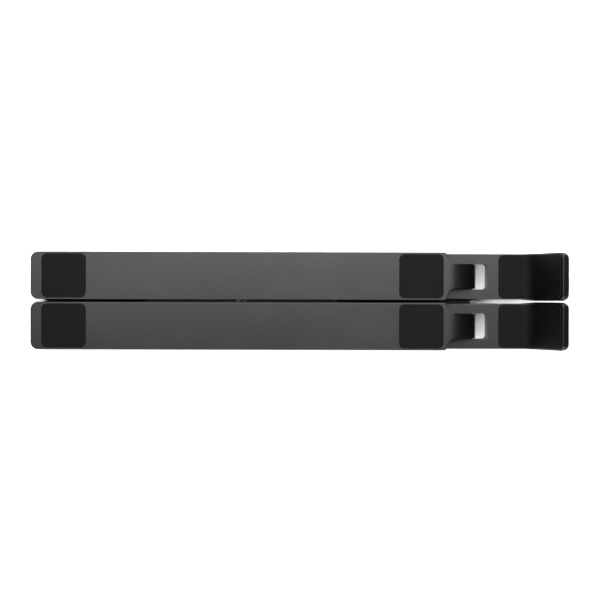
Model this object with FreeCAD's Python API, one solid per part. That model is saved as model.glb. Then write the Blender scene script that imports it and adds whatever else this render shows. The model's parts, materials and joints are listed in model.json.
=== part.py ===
"""Folding laptop stand: two slim aluminium bars side by side, joined by crossed links that let them spread apart.

Each side is a base bar, whose top plate runs forward into a padded hook, and a top arm that lies on it and hinges
at the front. A strut folded inside the arm swings down to a notched rack on the base bar and holds the arm up.
Millimetres, +Z up, +X towards the hooks, +Y towards the right-hand bar as the user sits in front of the hooks.
The origin is at the centre of the folded stand's footprint, on the surface that it stands on.
"""
import FreeCAD, Part
import math
import os

V = FreeCAD.Vector
Y_AXIS, Z_AXIS = V(0, 1, 0), V(0, 0, 1)

# Whole stand
BAR_Y = 11.8             # middle of each bar, out from the middle of the stand
REAR_X = -125.0          # rear end of the arms
TIP_X = 125.3            # front end of the hooks

# Base bar: a channel that is open towards the other bar
FOOT_TALL = 2.0
BASE_WIDE = 21.7
BASE_TOP = 11.0
BASE_REAR = -124.6
BASE_FRONT = 92.5        # outer face of the wall in front of the slot
PLATE = 2.4              # top plate
FLOOR_PLATE = 1.4        # lower flange
WEB = 1.8                # outer side, rear wall and front wall
BASE_CORNER = 3.4
FLANGE_INNER = 0.03      # inner edge of the lower flange, out from the middle of the stand
FLANGE_FRONT = 83.6
FLANGE_CORNER = 5.0      # at the rear
FLANGE_FRONT_CORNER = 1.0
INNER_FLOOR = FOOT_TALL + FLOOR_PLATE
INNER_ROOF = BASE_TOP - PLATE

# Hook
LIP_ANGLE = math.radians(64)
BEND_R = 8.0             # radius on the upper face
LIP_TOP = 33.0
LIP_THICK = 3.25
LIP_OUT = 11.0           # half widths of the lip, away from the other bar and towards it
LIP_IN = 11.5
LIP_FLARE = 7.0          # length over which the plate widens to the lip
LIP_CORNER = 3.0
TIP_CORNER = 2.9         # in plan, at the front end of the lip
EDGE_ROUND = 0.5
LIP_RISE = BEND_R * (1 - math.cos(LIP_ANGLE))
LIP_STRAIGHT = (LIP_TOP - BASE_TOP - LIP_RISE) / math.sin(LIP_ANGLE)
LIP_REACH = (BEND_R + LIP_THICK) * math.sin(LIP_ANGLE) + LIP_STRAIGHT * math.cos(LIP_ANGLE)
BEND_X = TIP_X - LIP_REACH
HOOK_PAD_REAR = 96.0
HOOK_PAD_THICK = 0.8
HOOK_PAD_WIDE = 20.8
HOOK_PAD_CORNER = 3.4
HOOK_PAD_SHORT = 1.0     # how far the pad stops below the lip's edge

# Opening in the top plate for the arm's tongue
SLOT_REAR = 74.0
SLOT_FRONT = 90.7
SLOT_WIDE = 12.2
SLOT_CORNER = 1.5

# Top arm: an upturned tray
ARM_WIDE = 22.4
ARM_REAR = REAR_X
ARM_FRONT = 70.5
ARM_TOP = 21.0
ARM_BOTTOM = 11.5
ARM_ROOF = 1.8
ARM_WALL = 1.5
ARM_CORNER = 3.5         # at the rear
ARM_FRONT_CORNER = 1.6
ARM_ROOM_CORNER = 0.4    # inside, at the front

# Tongue at the front of the arm and the hinge that holds it
TONGUE_WIDE = 11.4
TONGUE_R = 15.0          # outer curve, about a point straight below the arm's front edge
TONGUE_ROOT_R = 3.2
TONGUE_ROOT = 6.0        # length of the tongue that lies within the arm's roof
TONGUE_UNDER = (6.2, 4.0)  # where its lower curve passes: forward of the arm and below the roof
LUG_R = 3.3
HINGE_Z = 7.0
HINGE_DROP = HINGE_Z - (ARM_TOP - TONGUE_R)
HINGE_X = ARM_FRONT + math.sqrt((TONGUE_R - LUG_R) ** 2 - HINGE_DROP ** 2)
HINGE_PIN_R = 1.5
RUNNING = 0.05           # radial clearance of a turning pin
BLOCK_REAR = 67.0
BLOCK_INNER = 1.15       # the block's inner face, out from the middle of the stand
BLOCK_SCREW_R = 1.2
BLOCK_SCREW_X = BLOCK_REAR + 3.0

# Pads on the arm
PAD = 20.8
PAD_CORNER = 2.6
PAD_THICK = 1.1
PAD_POCKET = 0.6
REAR_PAD_X = -109.4
FRONT_PAD_X = 58.3

# Strut, folded back inside the arm
STRUT_PIVOT_X = -11.0
STRUT_PIVOT_Z = 16.0
STRUT_EXTRA = 1.2        # how much longer the strut is than the reach from hinge to pivot
STRUT_LONG = HINGE_X - STRUT_PIVOT_X + STRUT_EXTRA
STRUT_WIDE = 14.0
STRUT_THICK = 3.4
STRUT_EYE_R = 2.8
STRUT_PIN_R = 1.5
STRUT_ROD_R = 1.0
ROD_END_R = 1.6
ROD_END = (7.1, 8.9)     # each rod end, out from the bar's middle line
STRUT_WINDOW = 7.0
WINDOW_CORNER = 3.0
STRUT_CAP = 9.0          # solid length at each end of the strut
WASHER_GAP = 0.1         # between the strut and the washer at each side
WASHER_THICK = 1.0
WASHER_WALL = 1.3

# Rack on the base bar
RACK_REAR, RACK_FRONT = -104.0, -60.0
RACK_WIDE = 18.2
RACK_TALL = 1.0
NOTCH_R = 1.9
NOTCH_FLOOR = 0.3        # material left under a notch
HOLD_ANGLES = (12, 19, 25, 30, 35)
RACK_RIVET_R = 1.3
RACK_RIVET_IN = (3.0, 2.6)  # in from the rack's rear and front ends
RACK_CORNER = 1.0

# Crossed links
LINK_LONG = 172.0
LINK_WIDE = 12.0
LINK_THICK = 2.2
LINK_REAR_X = -112.0
LOWER_LINK_Z = 3.6
UPPER_LINK_Z = 6.1
LINK_PIN_R = 2.0
SPACER_WALL = 1.6
RIVET_R = 2.5
CENTRE_WASHER_WALL = 2.0
FULL_ROUND = 0.01        # how far a round end's corner radius stays below half the width
FOLDED = math.asin(2 * BAR_Y / LINK_LONG)
SPREAD = math.radians(68)
LINK_FRONT_X = LINK_REAR_X + LINK_LONG * math.cos(FOLDED)
LINK_OPEN_X = LINK_REAR_X + LINK_LONG * math.cos(SPREAD)

# Sliders on the front ends of the links
SLIDER_PIN_R = 2.2
SLIDER_HEAD_R = 3.4
SLIDER_HEAD = 0.8
SHOE = 8.4
SHOE_CORNER = 1.2
GUIDE_SLACK = 0.1

# Feet
FOOT_WIDE = 16.0
FOOT_CORNER = 3.0
REAR_FOOT = (-121.0, -97.0)
FRONT_FOOT = (64.0, 83.4)


def block(x, y, z):
    """A box from three (low, high) pairs."""
    size = [high - low for low, high in (x, y, z)]
    return Part.makeBox(*size, V(x[0], y[0], z[0]))


def slab(x, wide, z, corner, front_corner=None):
    """An upright slab centred on the X axis, with rounded corners in plan."""
    (x0, x1), h = x, wide / 2
    rear, front = corner, front_corner or corner
    k, m = (r * (1 - math.sqrt(0.5)) for r in (rear, front))
    edges = [
        Part.makeLine(V(x0 + rear, -h, 0), V(x1 - front, -h, 0)),
        Part.Arc(V(x1 - front, -h, 0), V(x1 - m, -h + m, 0), V(x1, -h + front, 0)).toShape(),
        Part.makeLine(V(x1, -h + front, 0), V(x1, h - front, 0)),
        Part.Arc(V(x1, h - front, 0), V(x1 - m, h - m, 0), V(x1 - front, h, 0)).toShape(),
        Part.makeLine(V(x1 - front, h, 0), V(x0 + rear, h, 0)),
        Part.Arc(V(x0 + rear, h, 0), V(x0 + k, h - k, 0), V(x0, h - rear, 0)).toShape(),
        Part.makeLine(V(x0, h - rear, 0), V(x0, -h + rear, 0)),
        Part.Arc(V(x0, -h + rear, 0), V(x0 + k, -h + k, 0), V(x0 + rear, -h, 0)).toShape(),
    ]
    face = Part.Face(Part.Wire(edges))
    face.translate(V(0, 0, z[0]))
    return face.extrude(V(0, 0, z[1] - z[0]))


def upright(x, r, z):
    """A vertical cylinder on the bar's middle line."""
    return Part.makeCylinder(r, z[1] - z[0], V(x, 0, z[0]), Z_AXIS)


def across(x, z, r, y):
    """A cylinder along Y."""
    return Part.makeCylinder(r, y[1] - y[0], V(x, y[0], z), Y_AXIS)


def side_profile(edges, wide):
    """Extrudes a closed outline drawn in the XZ plane, centred on the bar's middle line."""
    face = Part.Face(Part.Wire(edges))
    face.translate(V(0, -wide / 2, 0))
    return face.extrude(V(0, wide, 0))


def bend_point(radius, angle):
    """A point of the hook's bend, at an angle up from its lowest point."""
    centre = V(BEND_X, 0, BASE_TOP + BEND_R)
    return centre + V(math.sin(angle), 0, -math.cos(angle)) * radius


def hook_strip(x_start, near, far, straight, wide, thicker=0):
    """A strip that follows the plate, the bend and the lip, between two depths below their upper face.

    The lip can be thicker than the plate, in which case the lower face bends a little further forward.
    """
    along = V(math.cos(LIP_ANGLE), 0, math.sin(LIP_ANGLE)) * straight
    outward = V(math.sin(LIP_ANGLE), 0, -math.cos(LIP_ANGLE))
    shift = V(thicker / math.sin(LIP_ANGLE), 0, 0)
    top = [bend_point(BEND_R + near, a * LIP_ANGLE) for a in (0, 0.5, 1)]
    low = [bend_point(BEND_R + far, a * LIP_ANGLE) + shift for a in (0, 0.5, 1)]
    start_top, start_low = V(x_start, 0, BASE_TOP - near), V(x_start, 0, BASE_TOP - far)
    tip = top[2] + along
    tip_low = tip + outward * (far - near + thicker)
    edges = [
        Part.makeLine(start_top, top[0]),
        Part.Arc(*top).toShape(),
        Part.makeLine(top[2], tip),
        Part.makeLine(tip, tip_low),
        Part.makeLine(tip_low, low[2]),
        Part.Arc(low[2], low[1], low[0]).toShape(),
        Part.makeLine(low[0], start_low),
        Part.makeLine(start_low, start_top),
    ]
    return side_profile(edges, wide)


def end_corners(shape, direction, reach, x_range):
    """The edges of one length and direction within a range of X: the corners of a strip's end."""
    found = []
    for edge in shape.Edges:
        if len(edge.Vertexes) != 2 or abs(edge.Length - reach) > 0.01:
            continue
        run = (edge.Vertexes[1].Point - edge.Vertexes[0].Point).normalize()
        middle = edge.CenterOfMass
        if abs(abs(run.dot(direction)) - 1) < 1e-3 and x_range[0] < middle.x < x_range[1]:
            found.append(edge)
    return found


def outline_edges(shape, face_test):
    """The border edges of the faces that pass a test, each of which lies on only one such face."""
    found = {}
    for face in filter(face_test, shape.Faces):
        for edge in face.Edges:
            found.setdefault(edge.hashCode(), []).append(edge)
    return [edges[0] for edges in found.values() if len(edges) == 1]


def upper_face(face):
    """Whether a face of the top plate and hook looks towards the laptop."""
    u0, u1, v0, v1 = face.ParameterRange
    normal = face.normalAt((u0 + u1) / 2, (v0 + v1) / 2)
    return normal.z > 0.4 and normal.x < 0.1


def hook_plan():
    """Plan of the top plate and hook, which widens a little from the bend to the lip."""
    h, r = BASE_WIDE / 2, TIP_CORNER
    x0, x1, x2, x3 = BASE_REAR, BEND_X, BEND_X + LIP_FLARE, TIP_X
    k = r * (1 - math.sqrt(0.5))
    edges = [
        Part.makeLine(V(x0, -h, 0), V(x0, h, 0)),
        Part.makeLine(V(x3, r - LIP_IN, 0), V(x3, LIP_OUT - r, 0)),
    ]
    for s, lip in ((1, LIP_OUT), (-1, LIP_IN)):
        edges += [
            Part.makeLine(V(x0, s * h, 0), V(x1, s * h, 0)),
            Part.makeLine(V(x1, s * h, 0), V(x2, s * lip, 0)),
            Part.makeLine(V(x2, s * lip, 0), V(x3 - r, s * lip, 0)),
            Part.Arc(V(x3 - r, s * lip, 0), V(x3 - k, s * (lip - k), 0), V(x3, s * (lip - r), 0)).toShape(),
        ]
    face = Part.Face(Part.Wire(Part.__sortEdges__(edges)))
    return face.extrude(V(0, 0, LIP_TOP + 1))


def top_plate():
    """Top plate and hook in one piece, rounded along the border of their upper face."""
    plate = hook_strip(BASE_REAR, 0, PLATE, LIP_STRAIGHT, LIP_OUT + LIP_IN, LIP_THICK - PLATE)
    plate.translate(V(0, (LIP_OUT - LIP_IN) / 2, 0))
    outward = V(math.sin(LIP_ANGLE), 0, -math.cos(LIP_ANGLE))
    plate = plate.makeFillet(LIP_CORNER, end_corners(plate, outward, LIP_THICK, (BEND_X, TIP_X + 1)))
    plate = plate.common(hook_plan()).removeSplitter()
    plate = plate.makeFillet(BASE_CORNER, end_corners(plate, Z_AXIS, PLATE, (BASE_REAR - 1, 0)))
    return plate.makeFillet(EDGE_ROUND, outline_edges(plate, upper_face))


def beside_slot():
    """Space left open under the plate, between the slot's inner wall and the other bar."""
    return block((FLANGE_FRONT, BASE_FRONT + 1), (-BASE_WIDE, -SLOT_WIDE / 2 - WEB), (0, INNER_ROOF))


def base_bar():
    """Top plate with its hook, outer web, end walls and lower flange, open on the inner side."""
    shell = slab((BASE_REAR, BASE_FRONT), BASE_WIDE, (FOOT_TALL, INNER_ROOF + 0.5), BASE_CORNER)
    rooms = [
        block((BASE_REAR + WEB, SLOT_FRONT), (-BASE_WIDE, BASE_WIDE / 2 - WEB), (INNER_FLOOR, INNER_ROOF + 1)),
        beside_slot(),
    ]
    flange = slab(
        (BASE_REAR, FLANGE_FRONT), BASE_WIDE, (FOOT_TALL, INNER_FLOOR), FLANGE_CORNER, FLANGE_FRONT_CORNER
    )
    flange.translate(V(0, BASE_WIDE / 2 - (BAR_Y - FLANGE_INNER), 0))
    bar = top_plate().fuse([shell.cut(rooms), flange]).removeSplitter()
    guide = SLIDER_PIN_R + GUIDE_SLACK
    through_flange = (FOOT_TALL - 1, INNER_FLOOR + 1)
    cuts = [
        slab((SLOT_REAR, SLOT_FRONT), SLOT_WIDE, (INNER_ROOF - 1, BASE_TOP + 1), SLOT_CORNER),
        slab((FLANGE_FRONT, SLOT_FRONT), SLOT_WIDE, through_flange, SLOT_CORNER),
        slab((LINK_OPEN_X - guide, LINK_FRONT_X + guide), 2 * guide, through_flange, guide - FULL_ROUND),
        upright(LINK_REAR_X, LINK_PIN_R, (0, BASE_TOP + 1)),
        across(HINGE_X, HINGE_Z, HINGE_PIN_R, (0, BASE_WIDE)),
        upright(BLOCK_SCREW_X, BLOCK_SCREW_R, through_flange),
    ]
    cuts += [upright(x, RACK_RIVET_R, (INNER_ROOF - 1, BASE_TOP + 1)) for x in rack_rivet_places()]
    return bar.cut(Part.makeCompound(cuts))


def hinge_block():
    """Fills the front of the channel and leaves two cheeks beside the tongue for the hinge pin."""
    inner = -(BAR_Y - BLOCK_INNER)
    body = block((BLOCK_REAR, SLOT_FRONT), (inner, BASE_WIDE / 2 - WEB), (INNER_FLOOR, INNER_ROOF))
    gap = block((SLOT_REAR, SLOT_FRONT + 1), (-SLOT_WIDE / 2, SLOT_WIDE / 2), (0, BASE_TOP))
    pin = across(HINGE_X, HINGE_Z, HINGE_PIN_R, (-BASE_WIDE, BASE_WIDE))
    return body.cut(Part.makeCompound([gap, pin, block_screw(), beside_slot()]))


def block_screw():
    """Screw up through the lower flange into the hinge block, above the front foot."""
    return upright(BLOCK_SCREW_X, BLOCK_SCREW_R, (FOOT_TALL, INNER_ROOF - 1))


def hinge_pin():
    """Cross pin from the web's outer face to the block's inner cheek."""
    return across(HINGE_X, HINGE_Z, HINGE_PIN_R, (-(BAR_Y - BLOCK_INNER), BASE_WIDE / 2))


def hook_pad():
    """Silicone pad bonded to the plate, the bend and the lip of the hook."""
    strip = hook_strip(HOOK_PAD_REAR, -HOOK_PAD_THICK, 0, LIP_STRAIGHT - HOOK_PAD_SHORT, HOOK_PAD_WIDE)
    outward = V(math.sin(LIP_ANGLE), 0, -math.cos(LIP_ANGLE))
    strip = strip.makeFillet(HOOK_PAD_CORNER, end_corners(strip, outward, HOOK_PAD_THICK, (BEND_X, TIP_X)))
    near = (HOOK_PAD_REAR - 1, HOOK_PAD_REAR + 1)
    return strip.makeFillet(PAD_CORNER, end_corners(strip, Z_AXIS, HOOK_PAD_THICK, near))


def foot(x):
    """Rubber foot under the lower flange."""
    return slab(x, FOOT_WIDE, (0, FOOT_TALL), FOOT_CORNER)


def foot_place(angle):
    """Where the strut's rod stands along X when the arm is raised by an angle in degrees."""
    a = math.radians(angle)
    pivot_x = HINGE_X + (STRUT_PIVOT_X - HINGE_X) * math.cos(a) + (STRUT_PIVOT_Z - HINGE_Z) * math.sin(a)
    return pivot_x - STRUT_LONG * math.cos(a)


def rack_rivet_places():
    """Two rivets, one at each end of the rack."""
    return [RACK_REAR + RACK_RIVET_IN[0], RACK_FRONT - RACK_RIVET_IN[1]]


def rack():
    """Notched strip on the base bar, with one notch for each height of the arm."""
    strip = slab((RACK_REAR, RACK_FRONT), RACK_WIDE, (BASE_TOP, BASE_TOP + RACK_TALL), RACK_CORNER)
    notch_z = BASE_TOP + NOTCH_FLOOR + NOTCH_R
    notches = [across(foot_place(a), notch_z, NOTCH_R, (-RACK_WIDE, RACK_WIDE)) for a in HOLD_ANGLES]
    holes = [upright(x, RACK_RIVET_R, (BASE_TOP - 1, BASE_TOP + 2)) for x in rack_rivet_places()]
    return strip.cut(Part.makeCompound(notches + holes))


def rack_rivets():
    """Two flush rivets through the rack and the top plate."""
    z = (INNER_ROOF, BASE_TOP + RACK_TALL)
    return Part.makeCompound([upright(x, RACK_RIVET_R, z) for x in rack_rivet_places()])


def link_pin():
    """Rear pivot of a link, flush with both faces of the base bar."""
    return upright(LINK_REAR_X, LINK_PIN_R, (FOOT_TALL, BASE_TOP))


def link_spacer(z):
    """Sleeve on the rear pin that fills the height beside the link."""
    ring = upright(LINK_REAR_X, LINK_PIN_R + SPACER_WALL, z)
    return ring.cut(upright(LINK_REAR_X, LINK_PIN_R, (0, BASE_TOP)))


def tongue():
    """Curved tab that narrows from the arm's front edge and ends in a lug round the hinge pin."""
    low = ARM_TOP - ARM_ROOF
    centre = V(ARM_FRONT, 0, ARM_TOP - TONGUE_R)
    pin = V(HINGE_X, 0, HINGE_Z)
    out = (pin - centre).normalize()
    start = V(ARM_FRONT, 0, ARM_TOP)
    touch = centre + out * TONGUE_R
    turn = math.atan2(out.x, out.z) / 2
    half = centre + V(math.sin(turn), 0, math.cos(turn)) * TONGUE_R
    lug_left = pin + V(-LUG_R, 0, 0)
    lug_low = pin + V(0, 0, -LUG_R)
    inner_start = V(ARM_FRONT, 0, low)
    inner_half = V(ARM_FRONT + TONGUE_UNDER[0], 0, low - TONGUE_UNDER[1])
    rear_top, rear_low = V(ARM_FRONT - TONGUE_ROOT, 0, ARM_TOP), V(ARM_FRONT - TONGUE_ROOT, 0, low)
    edges = [
        Part.makeLine(rear_top, start),
        Part.Arc(start, half, touch).toShape(),
        Part.Arc(touch, lug_low, lug_left).toShape(),
        Part.Arc(lug_left, inner_half, inner_start).toShape(),
        Part.makeLine(inner_start, rear_low),
        Part.makeLine(rear_low, rear_top),
    ]
    solid = side_profile(edges, ARM_WIDE)
    return solid.common(tongue_plan()).cut(across(HINGE_X, HINGE_Z, HINGE_PIN_R + RUNNING, (-BAR_Y, BAR_Y)))


def tongue_plan():
    """Plan of the tongue, flared to the arm's front edge by two hollow curves."""
    h, r = TONGUE_WIDE / 2, TONGUE_ROOT_R
    k = r * (1 - math.sqrt(0.5))
    x0, x1, x2 = ARM_FRONT - TONGUE_ROOT, ARM_FRONT, HINGE_X + TONGUE_R
    edges = []
    for s in (1, -1):
        edges += [
            Part.makeLine(V(x0, 0, 0), V(x0, s * (h + r), 0)),
            Part.makeLine(V(x0, s * (h + r), 0), V(x1, s * (h + r), 0)),
            Part.Arc(V(x1, s * (h + r), 0), V(x1 + k, s * (h + k), 0), V(x1 + r, s * h, 0)).toShape(),
            Part.makeLine(V(x1 + r, s * h, 0), V(x2, s * h, 0)),
            Part.makeLine(V(x2, s * h, 0), V(x2, 0, 0)),
        ]
    face = Part.Face(Part.Wire(Part.__sortEdges__(edges)))
    return face.extrude(V(0, 0, ARM_TOP + 10))


def top_arm():
    """Upturned tray that carries the pads, with the tongue at its front."""
    body = slab((ARM_REAR, ARM_FRONT), ARM_WIDE, (ARM_BOTTOM, ARM_TOP), ARM_CORNER, ARM_FRONT_CORNER)
    rim = [e for e in body.Edges if all(abs(v.Z - ARM_TOP) < 1e-6 for v in e.Vertexes)]
    body = body.makeFillet(EDGE_ROUND, rim)
    room = slab(
        (ARM_REAR + ARM_WALL, ARM_FRONT - ARM_WALL),
        ARM_WIDE - 2 * ARM_WALL,
        (ARM_BOTTOM - 1, ARM_TOP - ARM_ROOF),
        ARM_CORNER - ARM_WALL,
        ARM_ROOM_CORNER,
    )
    arm = body.cut(room).fuse(tongue())
    pockets = [
        slab((x - PAD / 2, x + PAD / 2), PAD, (ARM_TOP - PAD_POCKET, ARM_TOP + 1), PAD_CORNER)
        for x in (REAR_PAD_X, FRONT_PAD_X)
    ]
    pin = across(STRUT_PIVOT_X, STRUT_PIVOT_Z, STRUT_PIN_R, (-ARM_WIDE, ARM_WIDE))
    return arm.cut(Part.makeCompound(pockets + [pin])).removeSplitter()


def arm_pad(x):
    """Silicone pad, set into the arm and standing a little proud of it."""
    low = ARM_TOP - PAD_POCKET
    return slab((x - PAD / 2, x + PAD / 2), PAD, (low, low + PAD_THICK), PAD_CORNER)


def strut():
    """Flat frame with a round eye at the pivot and at the rod."""
    ends = (STRUT_PIVOT_X - STRUT_LONG, STRUT_PIVOT_X)
    z = (STRUT_PIVOT_Z - STRUT_THICK / 2, STRUT_PIVOT_Z + STRUT_THICK / 2)
    half = STRUT_WIDE / 2
    body = block(ends, (-half, half), z)
    for x, r in zip(ends, (STRUT_THICK / 2, STRUT_EYE_R)):
        body = body.fuse(across(x, STRUT_PIVOT_Z, r, (-half, half)))
    window = slab((ends[0] + STRUT_CAP, ends[1] - STRUT_CAP), STRUT_WINDOW, (z[0] - 1, z[1] + 1), WINDOW_CORNER)
    eye = across(ends[1], STRUT_PIVOT_Z, STRUT_PIN_R + RUNNING, (-BAR_Y, BAR_Y))
    rod = across(ends[0], STRUT_PIVOT_Z, STRUT_ROD_R, (-BAR_Y, BAR_Y))
    return body.removeSplitter().cut(Part.makeCompound([window, eye, rod]))


def strut_pin():
    """Pivot pin, flush with the arm's two outer faces."""
    return across(STRUT_PIVOT_X, STRUT_PIVOT_Z, STRUT_PIN_R, (-ARM_WIDE / 2, ARM_WIDE / 2))


def strut_washers():
    """Two washers that centre the strut between the arm's walls."""
    near = STRUT_WIDE / 2 + WASHER_GAP
    far = near + WASHER_THICK
    rings = []
    for y in ((near, far), (-far, -near)):
        ring = across(STRUT_PIVOT_X, STRUT_PIVOT_Z, STRUT_PIN_R + WASHER_WALL, y)
        rings.append(ring.cut(across(STRUT_PIVOT_X, STRUT_PIVOT_Z, STRUT_PIN_R, (-BAR_Y, BAR_Y))))
    return Part.makeCompound(rings)


def strut_rod():
    """Rod through the strut's free end, whose two thicker ends drop into a notch of the rack."""
    x, (inner, outer) = STRUT_PIVOT_X - STRUT_LONG, ROD_END
    rod = across(x, STRUT_PIVOT_Z, STRUT_ROD_R, (-outer, outer))
    for y in ((inner, outer), (-outer, -inner)):
        rod = rod.fuse(across(x, STRUT_PIVOT_Z, ROD_END_R, y))
    return rod.removeSplitter()


def cross_link(z, side):
    """Flat link from the rear pin of one bar to the slider of the other; side is +1 if it starts on the right.

    The rivet is fast in the lower link and turns in the upper one.
    """
    slack = 0 if z == LOWER_LINK_Z else RUNNING
    half = LINK_WIDE / 2
    body = slab((-half, LINK_LONG + half), LINK_WIDE, (z, z + LINK_THICK), half - FULL_ROUND)
    holes = [
        upright(0, LINK_PIN_R + RUNNING, (z - 1, z + LINK_THICK + 1)),
        upright(LINK_LONG / 2, RIVET_R + slack, (z - 1, z + LINK_THICK + 1)),
        upright(LINK_LONG, SLIDER_PIN_R + RUNNING, (z - 1, z + LINK_THICK + 1)),
    ]
    link = body.cut(Part.makeCompound(holes))
    link.rotate(V(0, 0, 0), Z_AXIS, -side * math.degrees(FOLDED))
    link.translate(V(LINK_REAR_X, side * BAR_Y, 0))
    return link


def middle_x():
    """Where the two links cross when the stand is folded."""
    return (LINK_REAR_X + LINK_FRONT_X) / 2


def centre_rivet():
    """Flush rivet where the links cross."""
    return upright(middle_x(), RIVET_R, (LOWER_LINK_Z, UPPER_LINK_Z + LINK_THICK))


def centre_washer():
    """Thin washer between the two links, round the rivet."""
    z = (LOWER_LINK_Z + LINK_THICK, UPPER_LINK_Z)
    ring = upright(middle_x(), RIVET_R + CENTRE_WASHER_WALL, z)
    return ring.cut(upright(middle_x(), RIVET_R, (0, BASE_TOP)))


def slider_shoe(z):
    """Sliding shoe beside the link's front end, guided by the channel."""
    shoe = slab((LINK_FRONT_X - SHOE / 2, LINK_FRONT_X + SHOE / 2), SHOE, z, SHOE_CORNER)
    return shoe.cut(upright(LINK_FRONT_X, SLIDER_PIN_R, (0, BASE_TOP)))


def slider_pin(top):
    """Shouldered pin through the slot of the lower flange, with a button head under it."""
    head_top = FOOT_TALL - 0.1
    head = upright(LINK_FRONT_X, SLIDER_HEAD_R, (head_top - SLIDER_HEAD, head_top))
    shank = upright(LINK_FRONT_X, SLIDER_PIN_R, (head_top - SLIDER_HEAD, top))
    return head.fuse(shank).removeSplitter()


def side_parts(lower_link):
    """All the pieces of one side, by name, on the bar's own middle line; lower_link if its rear pin holds that."""
    lower_top, upper_top = LOWER_LINK_Z + LINK_THICK, UPPER_LINK_Z + LINK_THICK
    above = (lower_top + RUNNING, INNER_ROOF)
    below = (INNER_FLOOR, UPPER_LINK_Z - RUNNING)
    slider_above = (lower_top + RUNNING, INNER_ROOF - GUIDE_SLACK)
    slider_below = (INNER_FLOOR + GUIDE_SLACK, UPPER_LINK_Z - RUNNING)
    return {
        "base_bar": base_bar(),
        "hinge_block": hinge_block(),
        "block_screw": block_screw(),
        "hinge_pin": hinge_pin(),
        "hook_pad": hook_pad(),
        "rear_foot": foot(REAR_FOOT),
        "front_foot": foot(FRONT_FOOT),
        "rack": rack(),
        "rack_rivets": rack_rivets(),
        "link_pin": link_pin(),
        "link_spacer": link_spacer(above if lower_link else below),
        "top_arm": top_arm(),
        "rear_pad": arm_pad(REAR_PAD_X),
        "front_pad": arm_pad(FRONT_PAD_X),
        "strut": strut(),
        "strut_pin": strut_pin(),
        "strut_washers": strut_washers(),
        "strut_rod": strut_rod(),
        "slider_shoe": slider_shoe(slider_below if lower_link else slider_above),
        "slider_pin": slider_pin(upper_top if lower_link else INNER_ROOF - GUIDE_SLACK),
    }


def main():
    """Writes one STEP file for each piece."""
    os.makedirs("parts", exist_ok=True)
    pieces = {
        "lower_cross_link": cross_link(LOWER_LINK_Z, 1),
        "upper_cross_link": cross_link(UPPER_LINK_Z, -1),
        "centre_rivet": centre_rivet(),
        "centre_washer": centre_washer(),
    }
    for name, shape in side_parts(True).items():
        shape.translate(V(0, BAR_Y, 0))
        pieces["right_" + name] = shape
    for name, shape in side_parts(False).items():
        shape.translate(V(0, BAR_Y, 0))
        pieces["left_" + name] = shape.mirror(V(0, 0, 0), Y_AXIS)
    for name, shape in pieces.items():
        shape.exportStep("parts/" + name + ".step")


main()
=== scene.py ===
"""Looks of the folding laptop stand: camera, lights, floor, materials, and the moulded and turned pieces."""
import json
import math

import bmesh
import bpy
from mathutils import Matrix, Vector

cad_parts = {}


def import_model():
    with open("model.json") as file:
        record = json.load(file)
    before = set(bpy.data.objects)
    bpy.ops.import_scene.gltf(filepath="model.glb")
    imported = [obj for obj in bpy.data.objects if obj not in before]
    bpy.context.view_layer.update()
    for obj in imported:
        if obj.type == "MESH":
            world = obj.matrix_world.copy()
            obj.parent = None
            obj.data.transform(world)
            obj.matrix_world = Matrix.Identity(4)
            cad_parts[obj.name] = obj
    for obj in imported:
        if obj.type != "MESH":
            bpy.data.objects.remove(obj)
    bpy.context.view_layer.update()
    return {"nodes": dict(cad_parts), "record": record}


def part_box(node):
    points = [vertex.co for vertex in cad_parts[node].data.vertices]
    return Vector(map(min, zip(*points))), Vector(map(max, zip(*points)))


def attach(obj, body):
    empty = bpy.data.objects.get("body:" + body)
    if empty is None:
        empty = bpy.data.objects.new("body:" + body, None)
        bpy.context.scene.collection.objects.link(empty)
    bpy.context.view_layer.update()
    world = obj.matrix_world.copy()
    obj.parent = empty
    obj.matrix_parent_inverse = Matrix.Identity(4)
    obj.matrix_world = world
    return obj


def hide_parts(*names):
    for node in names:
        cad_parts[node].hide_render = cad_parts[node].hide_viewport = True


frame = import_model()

MM = 0.001
SIDES = ("right", "left")
ENDS = ("rear", "front")

# Camera: straight above the folded stand, nearly over its middle
ARM_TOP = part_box("right_top_arm")[1].z
CAMERA_HEIGHT = 0.600            # above the arms
FRAME_WIDTH = 0.2812             # what the picture takes in at the arms' height
CAMERA_SHIFT = (1.4 * MM, 0.47 * MM)
CAMERA_TURN = math.radians(0.15)
SENSOR = 36.0

# Stage
FLOOR_REACH = 20.0               # half the floor's side
GLOW_DISTANCE = (0.6, 1.6)       # from the stand: where the floor begins to glow, and where it glows most
GLOW = 0.93                      # emission strength there
ROOM_LIGHT = 0.01                # strength of the world's light
BACKDROP = 0.93                  # grey of the world where the camera sees it

# Channels in the base bars, inside which shade is painted as a darker colour. Each fade is two depths into a
# wall, between which the painted shade ends
WEB = 1.8 * MM
CHANNEL_FLOOR = 3.4 * MM
CHANNEL_ROOF = 8.6 * MM
CHANNEL_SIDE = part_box("right_base_bar")[1].y - WEB  # about the outer web's inner face
CHANNEL_ENDS = (-122.8 * MM, 90.7 * MM)
ROOF_FADE = (0.0, 0.5 * MM)
FLOOR_FADE = (0.1 * MM, 0.4 * MM)
WALL_FADE = (0.1 * MM, 0.6 * MM)

# Hook's upper face and the pad on it
LIP_ANGLE = math.radians(64)
BEND_R = 8.0 * MM
BASE_TOP = 11.0 * MM
HOOK_PAD_THICK = 0.8 * MM

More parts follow.
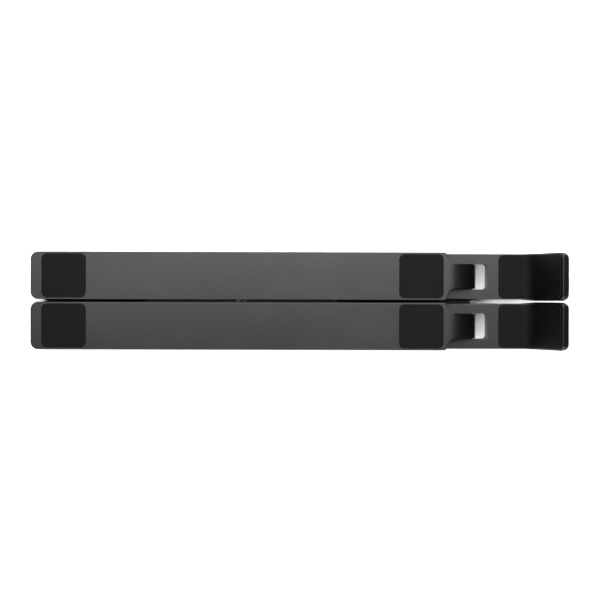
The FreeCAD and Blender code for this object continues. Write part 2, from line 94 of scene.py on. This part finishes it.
# Pads and feet: corners in plan, radius of the rim, and spacing of the mesh
PAD_CORNER = 2.6 * MM
LIP_PAD_CORNER = 3.4 * MM
FOOT_CORNER = 3.0 * MM
ARM_PAD_RIM = 0.45 * MM
HOOK_PAD_RIM = 0.4 * MM
FOOT_RIM = 0.5 * MM
ARM_PAD_STEP = 1.0 * MM
HOOK_PAD_STEP = 0.7 * MM
FOOT_STEP = 0.4 * MM
RIM_SHARES = (0.0, 0.08, 0.25, 0.5, 0.75, 1.0)
CORNER_SHARES = (0.34, 0.67, 1.0)

# Relief of the arm pads and the feet, each eased in from the rim over its run
HOLLOW_DEEP = 0.06 * MM
HOLLOW_RUN = 1.5 * MM
RIB_DEEP = 0.28 * MM
RIB_PITCH = 2.4 * MM
RIB_RUN = 0.8 * MM

# Turned pieces
SEGMENTS = 48
SHARP_EDGE = math.radians(35)
PIN_CHAMFER = 0.25 * MM
PIN_DIMPLE_DEEP = 0.35 * MM
PIN_DIMPLE_WIDE = 0.45           # share of the pin's radius
SLIDER_SHANK_R = 2.2 * MM
SLIDER_SHANK_CHAMFER = 0.3 * MM
SLIDER_HEAD = 0.8 * MM           # height of the button head
ROD_R = 1.0 * MM
ROLLER_LONG = 1.8 * MM
ROD_CHAMFER = 0.2 * MM

# Colour sockets of a Mix node, whose names it repeats for its other types
MIX_A, MIX_B, MIX_RESULT = 6, 7, 2

# Width of the rubbed band along the anodised edges
EDGE_WEAR = 0.5 * MM


# ---------------------------------------------------------------- materials

def new_material(name):
    """A node material, with its tree and its Principled shader."""
    material = bpy.data.materials.new(name)
    material.use_nodes = True
    tree = material.node_tree
    return material, tree, tree.nodes["Principled BSDF"]


def object_coordinates(tree):
    """Metres in the stand's frame."""
    return tree.nodes.new("ShaderNodeTexCoord").outputs["Object"]


def noise(tree, where, scale, detail, stretch=(1, 1, 1)):
    """A noise texture at the given coordinates, with its scale multiplied along each axis by stretch."""
    mapping = tree.nodes.new("ShaderNodeMapping")
    mapping.inputs["Scale"].default_value = stretch
    texture = tree.nodes.new("ShaderNodeTexNoise")
    texture.inputs["Scale"].default_value = scale
    texture.inputs["Detail"].default_value = detail
    tree.links.new(where, mapping.inputs["Vector"])
    tree.links.new(mapping.outputs["Vector"], texture.inputs["Vector"])
    return texture.outputs["Fac"]


def remap(tree, value, source, target=(0.0, 1.0)):
    """Maps a value from one range to another, held at both ends."""
    node = tree.nodes.new("ShaderNodeMapRange")
    for key, number in zip(("From Min", "From Max", "To Min", "To Max"), (*source, *target)):
        node.inputs[key].default_value = number
    tree.links.new(value, node.inputs["Value"])
    return node.outputs["Result"]


def combine(tree, operation, a, b=0.0):
    """A Math node on one or two values, each a socket or a number."""
    node = tree.nodes.new("ShaderNodeMath")
    node.operation = operation
    for socket, value in zip(node.inputs, (a, b)):
        if isinstance(value, (int, float)):
            socket.default_value = value
        else:
            tree.links.new(value, socket)
    return node.outputs[0]


def blend_colours(tree, factor, a, b):
    """Mixes two colours, each a socket or an RGB triple."""
    node = tree.nodes.new("ShaderNodeMix")
    node.data_type = "RGBA"
    tree.links.new(factor, node.inputs["Factor"])
    for key, value in ((MIX_A, a), (MIX_B, b)):
        if isinstance(value, tuple):
            node.inputs[key].default_value = (*value, 1.0)
        else:
            tree.links.new(value, node.inputs[key])
    return node.outputs[MIX_RESULT]


def scaled(colour, factor):
    """A lighter or darker version of an RGB triple."""
    return tuple(c * factor for c in colour)


def bump(tree, shader, height, distance):
    """Roughens the shader's normal by a height field, in which a height of 1 stands for the distance."""
    node = tree.nodes.new("ShaderNodeBump")
    node.inputs["Distance"].default_value = distance
    tree.links.new(height, node.inputs["Height"])
    tree.links.new(node.outputs["Normal"], shader.inputs["Normal"])


def edge_mask(tree, radius):
    """High along the edges of a piece, from how far a rounded normal leans from the true one."""
    bevel = tree.nodes.new("ShaderNodeBevel")
    bevel.samples = 4
    bevel.inputs["Radius"].default_value = radius
    geometry = tree.nodes.new("ShaderNodeNewGeometry")
    dot = tree.nodes.new("ShaderNodeVectorMath")
    dot.operation = "DOT_PRODUCT"
    tree.links.new(bevel.outputs["Normal"], dot.inputs[0])
    tree.links.new(geometry.outputs["Normal"], dot.inputs[1])
    return remap(tree, dot.outputs["Value"], (0.97, 0.80))


def short_of(tree, value, limit, fade):
    """High below a limit, fading out beyond it between two depths."""
    return remap(tree, value, (limit + fade[1], limit + fade[0]))


def channel_shade_mask(tree, where):
    """High where shade is painted in the base bars' channels: between floor and roof, short of the web,
    between the ends.
    """
    place = tree.nodes.new("ShaderNodeSeparateXYZ")
    tree.links.new(where, place.inputs["Vector"])
    along, across, up = (place.outputs[axis] for axis in "XYZ")
    middle, half = sum(CHANNEL_ENDS) / 2, (CHANNEL_ENDS[1] - CHANNEL_ENDS[0]) / 2
    under_roof = short_of(tree, up, CHANNEL_ROOF, ROOF_FADE)
    over_floor = remap(tree, up, (CHANNEL_FLOOR - FLOOR_FADE[1], CHANNEL_FLOOR - FLOOR_FADE[0]))
    off_centre = combine(tree, "ABSOLUTE", across)
    short_of_web = short_of(tree, off_centre, CHANNEL_SIDE, WALL_FADE)
    from_middle = combine(tree, "ABSOLUTE", combine(tree, "SUBTRACT", along, middle))
    between_ends = short_of(tree, from_middle, half, WALL_FADE)
    upright = combine(tree, "MULTIPLY", under_roof, over_floor)
    return combine(tree, "MULTIPLY", upright, combine(tree, "MULTIPLY", short_of_web, between_ends))


def anodised(name, grey, rough, worn=0.5, painted_channel_shade=False):
    """Bead-blasted, anodised aluminium with faint drawing lines along X and paler, rubbed edges.

    worn is how far the edges are rubbed, and the channel flag paints shade into the base bars' channels as a
    darker colour.
    """
    material, tree, shader = new_material(name)
    where = object_coordinates(tree)
    cloud = remap(tree, noise(tree, where, scale=28.0, detail=4.0), (0.35, 0.65))
    grain = noise(tree, where, scale=5200.0, detail=2.0)
    streaks = noise(tree, where, scale=60.0, detail=3.0, stretch=(1.0, 42.0, 42.0))
    colour = blend_colours(tree, cloud, scaled(grey, 0.93), scaled(grey, 1.06))
    speck = remap(tree, grain, (0.62, 0.80), (0.0, 0.30))
    colour = blend_colours(tree, speck, colour, scaled(grey, 1.8))
    patchy = remap(tree, noise(tree, where, scale=240.0, detail=4.0), (0.42, 0.62))
    rubbed = combine(tree, "MULTIPLY", edge_mask(tree, EDGE_WEAR), patchy)
    rubbed = combine(tree, "MULTIPLY", rubbed, worn)
    colour = blend_colours(tree, rubbed, colour, scaled(grey, 2.4))
    # Painted shade: the insides of the channels are coloured darker, standing in for the shade that falls
    # there.
    if painted_channel_shade:
        colour = blend_colours(tree, channel_shade_mask(tree, where), colour, scaled(grey, 0.3))
    tree.links.new(colour, shader.inputs["Base Color"])
    shader.inputs["Metallic"].default_value = 1.0
    streaky = remap(tree, streaks, (0.3, 0.7), (rough - 0.03, rough + 0.03))
    cloudy = remap(tree, cloud, (0.0, 1.0), (-0.015, 0.015))
    tree.links.new(combine(tree, "ADD", streaky, cloudy), shader.inputs["Roughness"])
    height = combine(tree, "ADD", grain, combine(tree, "MULTIPLY", streaks, 0.35))
    bump(tree, shader, height, distance=0.012 * MM)
    return material


def turned_steel(name, grey, rough):
    """Blackened steel with a fine grain and small brighter scuffs."""
    material, tree, shader = new_material(name)
    where = object_coordinates(tree)
    grain = noise(tree, where, scale=3000.0, detail=4.0)
    scuffs = remap(tree, noise(tree, where, scale=900.0, detail=5.0), (0.58, 0.72))
    tree.links.new(blend_colours(tree, scuffs, grey, scaled(grey, 2.0)), shader.inputs["Base Color"])
    shader.inputs["Metallic"].default_value = 1.0
    tree.links.new(remap(tree, grain, (0.3, 0.7), (rough - 0.06, rough + 0.08)), shader.inputs["Roughness"])
    bump(tree, shader, grain, distance=0.01 * MM)
    return material


def silicone(name, grey, rough, specular):
    """Matte silicone: a fine moulded grain, a slight bloom in patches and a few pale dust specks."""
    material, tree, shader = new_material(name)
    where = object_coordinates(tree)
    bloom = remap(tree, noise(tree, where, scale=70.0, detail=4.0), (0.35, 0.70))
    grain = noise(tree, where, scale=4200.0, detail=3.0)
    colour = blend_colours(tree, bloom, scaled(grey, 0.86), scaled(grey, 1.18))
    dust = remap(tree, noise(tree, where, scale=1500.0, detail=2.0), (0.755, 0.80), (0.0, 0.5))
    colour = blend_colours(tree, dust, colour, scaled(grey, 7.0))
    tree.links.new(colour, shader.inputs["Base Color"])
    shader.inputs["Specular IOR Level"].default_value = specular
    tree.links.new(remap(tree, bloom, (0.0, 1.0), (rough - 0.05, rough + 0.07)), shader.inputs["Roughness"])
    bump(tree, shader, grain, distance=0.03 * MM)
    return material


def acetal(name, grey):
    """Black bearing plastic with a soft moulded shine."""
    material, tree, shader = new_material(name)
    grain = noise(tree, object_coordinates(tree), scale=2500.0, detail=4.0)
    colour = blend_colours(tree, remap(tree, grain, (0.3, 0.7)), scaled(grey, 0.8), grey)
    tree.links.new(colour, shader.inputs["Base Color"])
    tree.links.new(remap(tree, grain, (0.3, 0.7), (0.36, 0.50)), shader.inputs["Roughness"])
    bump(tree, shader, grain, distance=0.01 * MM)
    return material


def floor_paper(name):
    """Pale studio paper with a barely visible tooth.

    It glows well away from the stand, where little light falls.
    """
    material, tree, shader = new_material(name)
    where = object_coordinates(tree)
    tooth = noise(tree, where, scale=900.0, detail=4.0)
    distance = tree.nodes.new("ShaderNodeVectorMath")
    distance.operation = "LENGTH"
    tree.links.new(where, distance.inputs[0])
    shader.inputs["Emission Color"].default_value = (1, 1, 1, 1)
    glow = remap(tree, distance.outputs["Value"], GLOW_DISTANCE, (0.0, GLOW))
    tree.links.new(glow, shader.inputs["Emission Strength"])
    colour = blend_colours(tree, tooth, (0.88, 0.88, 0.88), (0.92, 0.92, 0.92))
    tree.links.new(colour, shader.inputs["Base Color"])
    shader.inputs["Roughness"].default_value = 0.9
    shader.inputs["Specular IOR Level"].default_value = 0.1
    bump(tree, shader, tooth, distance=0.05 * MM)
    return material


DARK_GREY = (0.0300, 0.0302, 0.0291)
FINISH = {
    # The bars' material carries painted shade inside their channels.
    "bar_finish": anodised("bar_anodised", DARK_GREY, rough=0.38, painted_channel_shade=True),
    "arm_finish": anodised("arm_anodised", DARK_GREY, rough=0.38),
    "link_finish": anodised("link_anodised", scaled(DARK_GREY, 0.95), rough=0.38, worn=0.9),
    "strut_finish": anodised("strut_anodised", DARK_GREY, rough=0.36, worn=0.9),
    "inner_metal": anodised("inner_anodised", scaled(DARK_GREY, 0.6), rough=0.48, worn=0.8),
    "steel": turned_steel("blackened_steel", (0.09, 0.09, 0.093), rough=0.30),
    "silicone": silicone("pad_silicone", (0.0008, 0.0007, 0.0007), rough=0.55, specular=0.075),
    "foot_rubber": silicone("foot_rubber", (0.006, 0.006, 0.006), rough=0.70, specular=0.12),
    "washer_plastic": acetal("black_acetal", (0.012, 0.012, 0.0125)),
}


def dress_cad_nodes():
    """Puts the better materials on the CAD nodes, by the record's slots."""
    slots = {part["node"]: part["material_slot"] for part in frame["record"]["subparts"]}
    for name, node in frame["nodes"].items():
        node.data.materials.clear()
        node.data.materials.append(FINISH[slots[name]])


# ---------------------------------------------------------------- new pieces

def piece_from(name, mesh):
    """A smooth-shaded object from a bmesh, with its normals outwards."""
    bmesh.ops.recalc_face_normals(mesh, faces=mesh.faces)
    data = bpy.data.meshes.new(name)
    mesh.to_mesh(data)
    mesh.free()
    data.shade_smooth()
    data.set_sharp_from_angle(angle=SHARP_EDGE)
    piece = bpy.data.objects.new(name, data)
    bpy.context.scene.collection.objects.link(piece)
    return piece


def stand_for(piece, node, body, slot):
    """Lets a new piece stand for a CAD node: gives it that slot's material and the body that it rides on."""
    piece.data.materials.append(FINISH[slot])
    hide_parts(node)
    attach(piece, body)


# ---------------------------------------------------------------- pads and feet

def grid_lines(length, corner, rim, step):
    """Positions across a pad from edge to edge: close together over the rim and the corners, then even."""
    start = [rim * share for share in RIM_SHARES]
    start += [rim + (corner - rim) * share for share in CORNER_SHARES]
    count = round((length - 2 * corner) / step)
    middle = [corner + (length - 2 * corner) * i / count for i in range(1, count)]
    return start + middle + [length - s for s in reversed(start)]


def into_corner(a, b):
    """Carries a point of the unit square into the quarter disc, its two outer sides onto the arc."""
    far = max(a, b)
    angle = math.pi / 4 * (b / a if a >= b else 2 - a / b)
    return far * math.cos(angle), far * math.sin(angle)


def in_outline(s, t, length, width, corners):
    """Carries a point of a rectangle into its rounded outline, and says how far that is from the edge."""
    near_end = s < length / 2
    near_side = t < width / 2
    corner = corners[0] if near_end else corners[1]
    a = corner - (s if near_end else length - s)
    b = corner - (t if near_side else width - t)
    if a <= 0 or b <= 0:
        return s, t, min(s, length - s, t, width - t)
    u, v = into_corner(a / corner, b / corner)
    s = corner * (1 - u) if near_end else length - corner * (1 - u)
    t = corner * (1 - v) if near_side else width - corner * (1 - v)
    return s, t, corner * (1 - math.hypot(u, v))


def pad_piece(name, size, corners, rim, step, place, relief=None):
    """A moulded pad with rounded corners and a rounded rim.

    size is its length, width and thickness, and corners are the radii at the two ends of its length. place
    carries (along, across, height) to the frame. relief gives what to add to the height within the rim, from
    (along, inset from the edge).
    """
    length, width, thick = size
    rows = grid_lines(length, max(corners), rim, step)
    columns = grid_lines(width, max(corners), rim, step)
    mesh = bmesh.new()
    top, low = [], []
    for s in rows:
        top_row, low_row = [], []
        for t in columns:
            x, y, inset = in_outline(s, t, length, width, corners)
            fall = rim - math.sqrt(max(0.0, rim ** 2 - (rim - min(inset, rim)) ** 2))
            height = thick - fall
            if relief and inset > rim:
                height += relief(x, inset)
            top_row.append(mesh.verts.new(place(x, y, height)))
            low_row.append(mesh.verts.new(place(x, y, 0.0)))
        top.append(top_row)
        low.append(low_row)
    last_r, last_c = len(rows) - 1, len(columns) - 1
    for i in range(last_r):
        for j in range(last_c):
            mesh.faces.new((top[i][j], top[i + 1][j], top[i + 1][j + 1], top[i][j + 1]))
            mesh.faces.new((low[i][j], low[i][j + 1], low[i + 1][j + 1], low[i + 1][j]))
    border = [(i, 0) for i in range(last_r)] + [(last_r, j) for j in range(last_c)]
    border += [(i, last_c) for i in range(last_r, 0, -1)] + [(0, j) for j in range(last_c, 0, -1)]
    for (i, j), (k, m) in zip(border, border[1:] + border[:1]):
        mesh.faces.new((top[i][j], low[i][j], low[k][m], top[k][m]))
    return piece_from(name, mesh)


def hollow(s, inset):
    """Relief of an arm pad: very slightly lower within its rim."""
    return -HOLLOW_DEEP * min(1.0, (inset - ARM_PAD_RIM) / HOLLOW_RUN)


def ribs(s, inset):
    """Relief of a foot: grooves across it that leave grip ribs between them."""
    ease = min(1.0, (inset - FOOT_RIM) / RIB_RUN)
    return -RIB_DEEP * ease * max(0.0, math.cos(2 * math.pi * s / RIB_PITCH))


def arm_pads():
    """The square pads let into the two ends of each arm."""
    corners = (PAD_CORNER, PAD_CORNER)
    for side in SIDES:
        for end in ENDS:
            node = f"{side}_{end}_pad"
            low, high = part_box(node)

            def place(s, t, h, low=low):
                return low + Vector((s, t, h))

            piece = pad_piece(node + "_skin", high - low, corners, ARM_PAD_RIM, ARM_PAD_STEP, place, hollow)
            stand_for(piece, node, f"{side}_arm", "silicone")


def feet():
    """Rubber feet with moulded grip ribs across them, made upside down."""
    corners = (FOOT_CORNER, FOOT_CORNER)
    for side in SIDES:
        for end in ENDS:
            node = f"{side}_{end}_foot"
            low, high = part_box(node)

            def place(s, t, h, low=low, high=high):
                return Vector((low.x + s, low.y + t, high.z - h))

            piece = pad_piece(node + "_rubber", high - low, corners, FOOT_RIM, FOOT_STEP, place, ribs)
            stand_for(piece, node, f"{side}_base", "foot_rubber")


def hook_path(start, bend, straight):
    """The line along the hook's upper face: a function from distance to point and normal, and its length.

    It runs level from start to bend, up through the bend, and straight up the lip.
    """
    arc = BEND_R * LIP_ANGLE
    centre = Vector((bend, 0, BASE_TOP + BEND_R))
    flat = bend - start

    def at(s):
        if s <= flat:
            return Vector((start + s, 0, BASE_TOP)), Vector((0, 0, 1))
        angle = min((s - flat) / BEND_R, LIP_ANGLE)
        normal = Vector((-math.sin(angle), 0, math.cos(angle)))
        point = centre - normal * BEND_R
        if s > flat + arc:
            point += Vector((math.cos(LIP_ANGLE), 0, math.sin(LIP_ANGLE))) * (s - flat - arc)
        return point, normal

    return at, flat + arc + straight


def hook_pads():
    """The pads that line the plate, the bend and the lip of each hook."""
    corners = (PAD_CORNER, LIP_PAD_CORNER)
    for side in SIDES:
        node = f"{side}_hook_pad"
        low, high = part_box(node)
        rise = BEND_R * (1 - math.cos(LIP_ANGLE))
        slope = math.sin(LIP_ANGLE)
        straight = (high.z - HOOK_PAD_THICK * math.cos(LIP_ANGLE) - BASE_TOP - rise) / slope
        bend = high.x - BEND_R * slope - straight * math.cos(LIP_ANGLE)
        at, length = hook_path(low.x, bend, straight)

        def place(s, t, h, at=at, low=low):
            point, normal = at(s)
            return point + normal * h + Vector((0, low.y + t, 0))

        size = (length, high.y - low.y, HOOK_PAD_THICK)
        piece = pad_piece(node + "_skin", size, corners, HOOK_PAD_RIM, HOOK_PAD_STEP, place)
        stand_for(piece, node, f"{side}_base", "silicone")


# ---------------------------------------------------------------- turned pieces

def turned(name, profile, start, axis):
    """A solid of revolution: profile is (distance along the axis, radius) pairs, from end to end."""
    axis = Vector(axis).normalized()
    side = axis.orthogonal().normalized()
    up = axis.cross(side)
    mesh = bmesh.new()
    rings = []
    for along, radius in profile:
        ring = []
        for k in range(SEGMENTS):
            angle = 2 * math.pi * k / SEGMENTS
            outward = side * math.cos(angle) + up * math.sin(angle)
            ring.append(mesh.verts.new(start + axis * along + outward * radius))
        rings.append(ring)
    for a, b in zip(rings, rings[1:]):
        for k in range(SEGMENTS):
            mesh.faces.new((a[k], a[(k + 1) % SEGMENTS], b[(k + 1) % SEGMENTS], b[k]))
    for ring, along in ((rings[0], profile[0][0]), (rings[-1], profile[-1][0])):
        tip = mesh.verts.new(start + axis * along)
        for k in range(SEGMENTS):
            mesh.faces.new((ring[k], ring[(k + 1) % SEGMENTS], tip))
    return piece_from(name, mesh)


def pin_profile(length, radius):
    """A pin with chamfered ends, each with a shallow centre dimple."""
    deep, chamfer = PIN_DIMPLE_DEEP, PIN_CHAMFER
    dimple = [(deep, 0.08 * radius), (deep * 0.8, 0.22 * radius), (0.0, PIN_DIMPLE_WIDE * radius)]
    shoulder = [(0.0, radius - chamfer), (chamfer * 0.3, radius - chamfer * 0.3), (chamfer, radius)]
    end = dimple + shoulder
    return end + [(length - a, r) for a, r in reversed(end)]


def slider_profile(length, head_radius):
    """A button head with a dimple and a rounded rim, then a shank with a chamfered end."""
    dimple = [(0.25 * MM, 0.1 * MM), (0.2 * MM, 0.9 * MM), (0.0, 1.3 * MM)]
    rim = [(0.0, head_radius - 0.5 * MM), (0.15 * MM, head_radius - 0.12 * MM), (0.4 * MM, head_radius)]
    shoulder = [(SLIDER_HEAD, head_radius), (SLIDER_HEAD, SLIDER_SHANK_R)]
    end = [(length - SLIDER_SHANK_CHAMFER, SLIDER_SHANK_R), (length, SLIDER_SHANK_R - SLIDER_SHANK_CHAMFER)]
    return dimple + rim + shoulder + end


def rod_profile(length, end_radius):
    """A thin rod between two rollers, with the edges of all three chamfered."""
    roller = (ROLLER_LONG, end_radius)
    profile = []
    along = 0.0
    for part, radius in (roller, (length - 2 * ROLLER_LONG, ROD_R), roller):
        profile += [(along, radius - ROD_CHAMFER), (along + ROD_CHAMFER, radius)]
        along += part
        profile += [(along - ROD_CHAMFER, radius), (along, radius - ROD_CHAMFER)]
    return profile


def pins():
    """Pins and a rivet that are plain cylinders in CAD, with chamfers and dimples; k is the axis of each."""
    kinds = (("hinge_pin", "base", 1), ("link_pin", "base", 2), ("strut_pin", "arm", 1))
    rows = [(f"{side}_{name}", f"{side}_{body}", k) for side in SIDES for name, body, k in kinds]
    rows.append(("centre_rivet", "lower_link", 2))
    for node, body, k in rows:
        low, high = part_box(node)
        radius = (high[(k + 1) % 3] - low[(k + 1) % 3]) / 2
        start = (low + high) / 2
        start[k] = low[k]
        axis = [0, 0, 0]
        axis[k] = 1
        piece = turned(node + "_turned", pin_profile(high[k] - low[k], radius), start, axis)
        stand_for(piece, node, body, "steel")


def slider_pins():
    """Button-headed pins that run in the slots of the lower flanges."""
    for side in SIDES:
        node = f"{side}_slider_pin"
        low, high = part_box(node)
        start = (low + high) / 2
        start.z = low.z
        profile = slider_profile(high.z - low.z, (high.x - low.x) / 2)
        piece = turned(node + "_turned", profile, start, (0, 0, 1))
        stand_for(piece, node, f"{side}_slider", "steel")


def strut_rods():
    """The rod at each strut's free end, with a thicker roller at each side."""
    for side in SIDES:
        node = f"{side}_strut_rod"
        low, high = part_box(node)
        start = (low + high) / 2
        start.y = low.y
        profile = rod_profile(high.y - low.y, (high.z - low.z) / 2)
        piece = turned(node + "_turned", profile, start, (0, 1, 0))
        stand_for(piece, node, f"{side}_strut", "steel")


# ---------------------------------------------------------------- stage

def camera():
    """The photograph's view: straight down, with the hooks to the right."""
    data = bpy.data.cameras.new("camera")
    data.sensor_width = SENSOR
    data.lens = SENSOR * CAMERA_HEIGHT / FRAME_WIDTH
    data.clip_end = 50.0
    eye = bpy.data.objects.new("camera", data)
    eye.location = (*CAMERA_SHIFT, ARM_TOP + CAMERA_HEIGHT)
    eye.rotation_euler = (0, 0, CAMERA_TURN)
    bpy.context.scene.collection.objects.link(eye)
    bpy.context.scene.camera = eye


def area_light(name, centre, size, radiance, target=None, glossy=True):
    """A rectangular soft light that faces down or towards a target, and that gloss reflects or not."""
    data = bpy.data.lights.new(name, "AREA")
    data.shape = "RECTANGLE"
    data.size, data.size_y = size
    data.energy = radiance * math.pi * size[0] * size[1]
    lamp = bpy.data.objects.new(name, data)
    lamp.location = centre
    if target is not None:
        lamp.rotation_euler = (Vector(target) - Vector(centre)).to_track_quat("-Z", "Y").to_euler()
    lamp.visible_camera = False
    lamp.visible_glossy = glossy
    bpy.context.scene.collection.objects.link(lamp)


def lights():
    """A soft box overhead to one side, a wide fill on each long side, and a low light past the hooks.

    The low light is for the floor under the overhanging hooks, which is seen between their plates.
    """
    stand, hooks = (0, 0, 0), (0.09, 0, 0)
    area_light("key", (0.005, 0.330, ARM_TOP + 0.40), size=(0.54, 0.64), radiance=6.8)
    area_light("far_fill", (0.0, 1.3, 0.75), size=(2.6, 1.0), radiance=2.0, target=stand)
    area_light("near_fill", (0.0, -1.3, 0.95), size=(2.6, 1.4), radiance=6.0, target=stand)
    area_light("low_front", (1.09, 0.0, 0.47), size=(0.8, 0.17), radiance=32.0, target=hooks, glossy=False)


def world():
    """A dim room, pale where the camera looks straight at it."""
    room = bpy.data.worlds.new("studio")
    bpy.context.scene.world = room
    room.use_nodes = True
    tree = room.node_tree
    dim = tree.nodes["Background"]
    dim.inputs["Color"].default_value = (1, 1, 1, 1)
    dim.inputs["Strength"].default_value = ROOM_LIGHT
    pale = tree.nodes.new("ShaderNodeBackground")
    pale.inputs["Color"].default_value = (BACKDROP, BACKDROP, BACKDROP, 1)
    path = tree.nodes.new("ShaderNodeLightPath")
    mix = tree.nodes.new("ShaderNodeMixShader")
    tree.links.new(path.outputs["Is Camera Ray"], mix.inputs[0])
    tree.links.new(dim.outputs[0], mix.inputs[1])
    tree.links.new(pale.outputs[0], mix.inputs[2])
    tree.links.new(mix.outputs[0], tree.nodes["World Output"].inputs["Surface"])


def floor():
    """A wide pale floor that the feet stand on."""
    mesh = bmesh.new()
    bmesh.ops.create_grid(mesh, x_segments=1, y_segments=1, size=FLOOR_REACH)
    data = bpy.data.meshes.new("floor")
    mesh.to_mesh(data)
    mesh.free()
    data.materials.append(floor_paper("floor_paper"))
    ground = bpy.data.objects.new("floor", data)
    bpy.context.scene.collection.objects.link(ground)


camera()
lights()
world()
floor()
dress_cad_nodes()
arm_pads()
hook_pads()
feet()
pins()
slider_pins()
strut_rods()
bpy.context.scene.view_settings.view_transform = "Standard"
bpy.context.view_layer.update()
